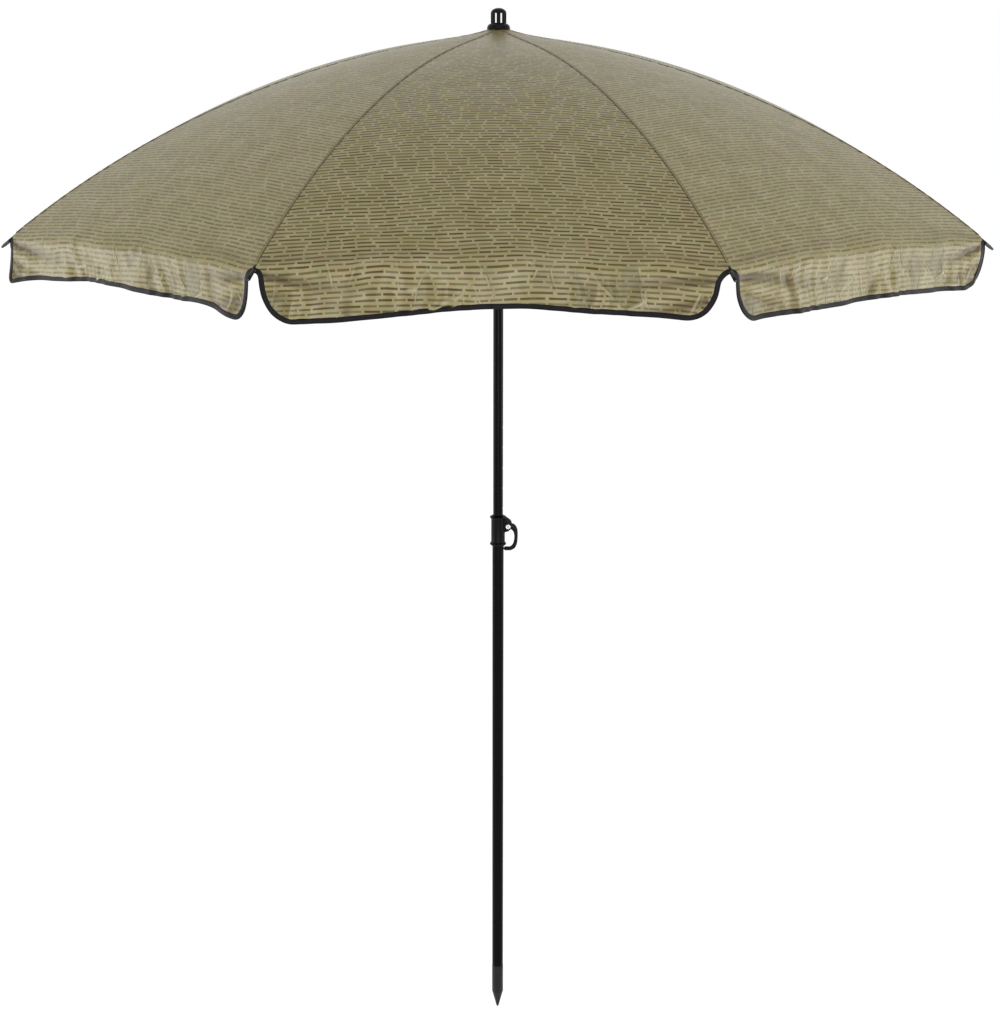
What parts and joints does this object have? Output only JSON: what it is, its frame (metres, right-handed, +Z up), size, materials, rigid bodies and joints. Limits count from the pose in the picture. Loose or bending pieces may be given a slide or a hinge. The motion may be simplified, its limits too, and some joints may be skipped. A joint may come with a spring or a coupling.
{
  "type": "fishing umbrella",
  "caption": "Fishing umbrella with a camouflage canopy on folding ribs, a sliding runner, a two-part pole with a lever height lock, and a ground spike.",
  "frame": {"origin": "point of the ground spike", "axes": "+Z up along the pole, -Y towards the side seen in the picture, +X towards the lock lever"},
  "size_m": [1.6666, 1.6666, 1.9976],
  "materials": {
    "black_enamel": "gloss",
    "black_moulding": "satin",
    "bright_steel": "satin",
    "dark_steel": "satin",
    "rod_steel": "satin",
    "cloth": "satin"
  },
  "bodies": {
    "lower_pole": {"ground_spike": "dark_steel", "lower_pole": "black_enamel", "lock_collar": "black_moulding", "lever_rivet": "bright_steel", "lever_spring": "bright_steel"},
    "lock_lever": {"lock_lever": "black_moulding", "latch_pin": "bright_steel"},
    "upper_pole": {"upper_pole": "black_enamel", "crown_hub": "black_moulding", "crown_wire": "bright_steel", "finial": "black_moulding", "catch_pin": "bright_steel", "canopy_panel_1": "cloth", "canopy_panel_2": "cloth", "canopy_panel_3": "cloth", "canopy_panel_4": "cloth", "canopy_panel_5": "cloth", "canopy_panel_6": "cloth", "canopy_panel_7": "cloth", "canopy_panel_8": "cloth"},
    "pole_catch": {"pole_catch": "bright_steel"},
    "runner": {"runner": "black_moulding", "runner_wire": "bright_steel"},
    "rib_1": {"rib_1": "rod_steel", "rib_tip_1": "bright_steel", "rib_clip_1": "black_moulding"},
    "strut_1": {"strut_1": "black_enamel"},
    "rib_2": {"rib_2": "rod_steel", "rib_tip_2": "bright_steel", "rib_clip_2": "black_moulding"},
    "strut_2": {"strut_2": "black_enamel"},
    "rib_3": {"rib_3": "rod_steel", "rib_tip_3": "bright_steel", "rib_clip_3": "black_moulding"},
    "strut_3": {"strut_3": "black_enamel"},
    "rib_4": {"rib_4": "rod_steel", "rib_tip_4": "bright_steel", "rib_clip_4": "black_moulding"},
    "strut_4": {"strut_4": "black_enamel"},
    "rib_5": {"rib_5": "rod_steel", "rib_tip_5": "bright_steel", "rib_clip_5": "black_moulding"},
    "strut_5": {"strut_5": "black_enamel"},
    "rib_6": {"rib_6": "rod_steel", "rib_tip_6": "bright_steel", "rib_clip_6": "black_moulding"},
    "strut_6": {"strut_6": "black_enamel"},
    "rib_7": {"rib_7": "rod_steel", "rib_tip_7": "bright_steel", "rib_clip_7": "black_moulding"},
    "strut_7": {"strut_7": "black_enamel"},
    "rib_8": {"rib_8": "rod_steel", "rib_tip_8": "bright_steel", "rib_clip_8": "black_moulding"},
    "strut_8": {"strut_8": "black_enamel"}
  },
  "joints": [
    {"name": "pole_height", "type": "slide", "parent": "lower_pole", "child": "upper_pole", "axis": [0, 0, 1], "range_m": [-0.24, 0]},
    {"name": "lever_release", "type": "hinge", "parent": "lower_pole", "child": "lock_lever", "pos_m": [0.0195, 0, 1.0277], "axis": [0, -1, 0], "range_deg": [0, 10], "stiffness_Nm_per_rad": 0.5, "springref_deg": -8.59},
    {"name": "catch_swing", "type": "hinge", "parent": "upper_pole", "child": "pole_catch", "pos_m": [-0.003, 0, 1.68341], "axis": [0, -1, 0], "range_deg": [0, 7], "stiffness_Nm_per_rad": 0.02, "springref_deg": 6.99},
    {"name": "runner_slide", "type": "slide", "parent": "upper_pole", "child": "runner", "axis": [0, 0, 1], "range_m": [-0.388, 0]},
    {"name": "rib_1_fold", "type": "hinge", "parent": "upper_pole", "child": "rib_1", "pos_m": [0.00506, -0.01221, 1.94501], "axis": [0.9239, 0.3827, 0], "range_deg": [0, 62]},
    {"name": "strut_1_fold", "type": "hinge", "parent": "runner", "child": "strut_1", "pos_m": [0.00593, -0.01432, 1.75501], "axis": [0.9239, 0.3827, 0], "range_deg": [-49.08, 0]},
    {"name": "rib_2_fold", "type": "hinge", "parent": "upper_pole", "child": "rib_2", "pos_m": [0.01221, -0.00506, 1.94501], "axis": [0.3827, 0.9239, 0], "range_deg": [0, 62]},
    {"name": "strut_2_fold", "type": "hinge", "parent": "runner", "child": "strut_2", "pos_m": [0.01432, -0.00593, 1.75501], "axis": [0.3827, 0.9239, 0], "range_deg": [-49.08, 0]},
    {"name": "rib_3_fold", "type": "hinge", "parent": "upper_pole", "child": "rib_3", "pos_m": [0.01221, 0.00506, 1.94501], "axis": [-0.3827, 0.9239, 0], "range_deg": [0, 62]},
    {"name": "strut_3_fold", "type": "hinge", "parent": "runner", "child": "strut_3", "pos_m": [0.01432, 0.00593, 1.75501], "axis": [-0.3827, 0.9239, 0], "range_deg": [-49.08, 0]},
    {"name": "rib_4_fold", "type": "hinge", "parent": "upper_pole", "child": "rib_4", "pos_m": [0.00506, 0.01221, 1.94501], "axis": [-0.9239, 0.3827, 0], "range_deg": [0, 62]},
    {"name": "strut_4_fold", "type": "hinge", "parent": "runner", "child": "strut_4", "pos_m": [0.00593, 0.01432, 1.75501], "axis": [-0.9239, 0.3827, 0], "range_deg": [-49.08, 0]},
    {"name": "rib_5_fold", "type": "hinge", "parent": "upper_pole", "child": "rib_5", "pos_m": [-0.00506, 0.01221, 1.94501], "axis": [-0.9239, -0.3827, 0], "range_deg": [0, 62]},
    {"name": "strut_5_fold", "type": "hinge", "parent": "runner", "child": "strut_5", "pos_m": [-0.00593, 0.01432, 1.75501], "axis": [-0.9239, -0.3827, 0], "range_deg": [-49.08, 0]},
    {"name": "rib_6_fold", "type": "hinge", "parent": "upper_pole", "child": "rib_6", "pos_m": [-0.01221, 0.00506, 1.94501], "axis": [-0.3827, -0.9239, 0], "range_deg": [0, 62]},
    {"name": "strut_6_fold", "type": "hinge", "parent": "runner", "child": "strut_6", "pos_m": [-0.01432, 0.00593, 1.75501], "axis": [-0.3827, -0.9239, 0], "range_deg": [-49.08, 0]},
    {"name": "rib_7_fold", "type": "hinge", "parent": "upper_pole", "child": "rib_7", "pos_m": [-0.01221, -0.00506, 1.94501], "axis": [0.3827, -0.9239, 0], "range_deg": [0, 62]},
    {"name": "strut_7_fold", "type": "hinge", "parent": "runner", "child": "strut_7", "pos_m": [-0.01432, -0.00593, 1.75501], "axis": [0.3827, -0.9239, 0], "range_deg": [-49.08, 0]},
    {"name": "rib_8_fold", "type": "hinge", "parent": "upper_pole", "child": "rib_8", "pos_m": [-0.00506, -0.01221, 1.94501], "axis": [0.9239, -0.3827, 0], "range_deg": [0, 62]},
    {"name": "strut_8_fold", "type": "hinge", "parent": "runner", "child": "strut_8", "pos_m": [-0.00593, -0.01432, 1.75501], "axis": [0.9239, -0.3827, 0], "range_deg": [-49.08, 0]}
  ],
  "couplings": [
    {"joint": "rib_1_fold", "follows": "runner_slide", "rad_per_m": -2.7878},
    {"joint": "strut_1_fold", "follows": "runner_slide", "rad_per_m": 2.2024},
    {"joint": "rib_2_fold", "follows": "runner_slide", "rad_per_m": -2.7878},
    {"joint": "strut_2_fold", "follows": "runner_slide", "rad_per_m": 2.2024},
    {"joint": "rib_3_fold", "follows": "runner_slide", "rad_per_m": -2.7878},
    {"joint": "strut_3_fold", "follows": "runner_slide", "rad_per_m": 2.2024},
    {"joint": "rib_4_fold", "follows": "runner_slide", "rad_per_m": -2.7878},
    {"joint": "strut_4_fold", "follows": "runner_slide", "rad_per_m": 2.2024},
    {"joint": "rib_5_fold", "follows": "runner_slide", "rad_per_m": -2.7878},
    {"joint": "strut_5_fold", "follows": "runner_slide", "rad_per_m": 2.2024},
    {"joint": "rib_6_fold", "follows": "runner_slide", "rad_per_m": -2.7878},
    {"joint": "strut_6_fold", "follows": "runner_slide", "rad_per_m": 2.2024},
    {"joint": "rib_7_fold", "follows": "runner_slide", "rad_per_m": -2.7878},
    {"joint": "strut_7_fold", "follows": "runner_slide", "rad_per_m": 2.2024},
    {"joint": "rib_8_fold", "follows": "runner_slide", "rad_per_m": -2.7878},
    {"joint": "strut_8_fold", "follows": "runner_slide", "rad_per_m": 2.2024}
  ]
}
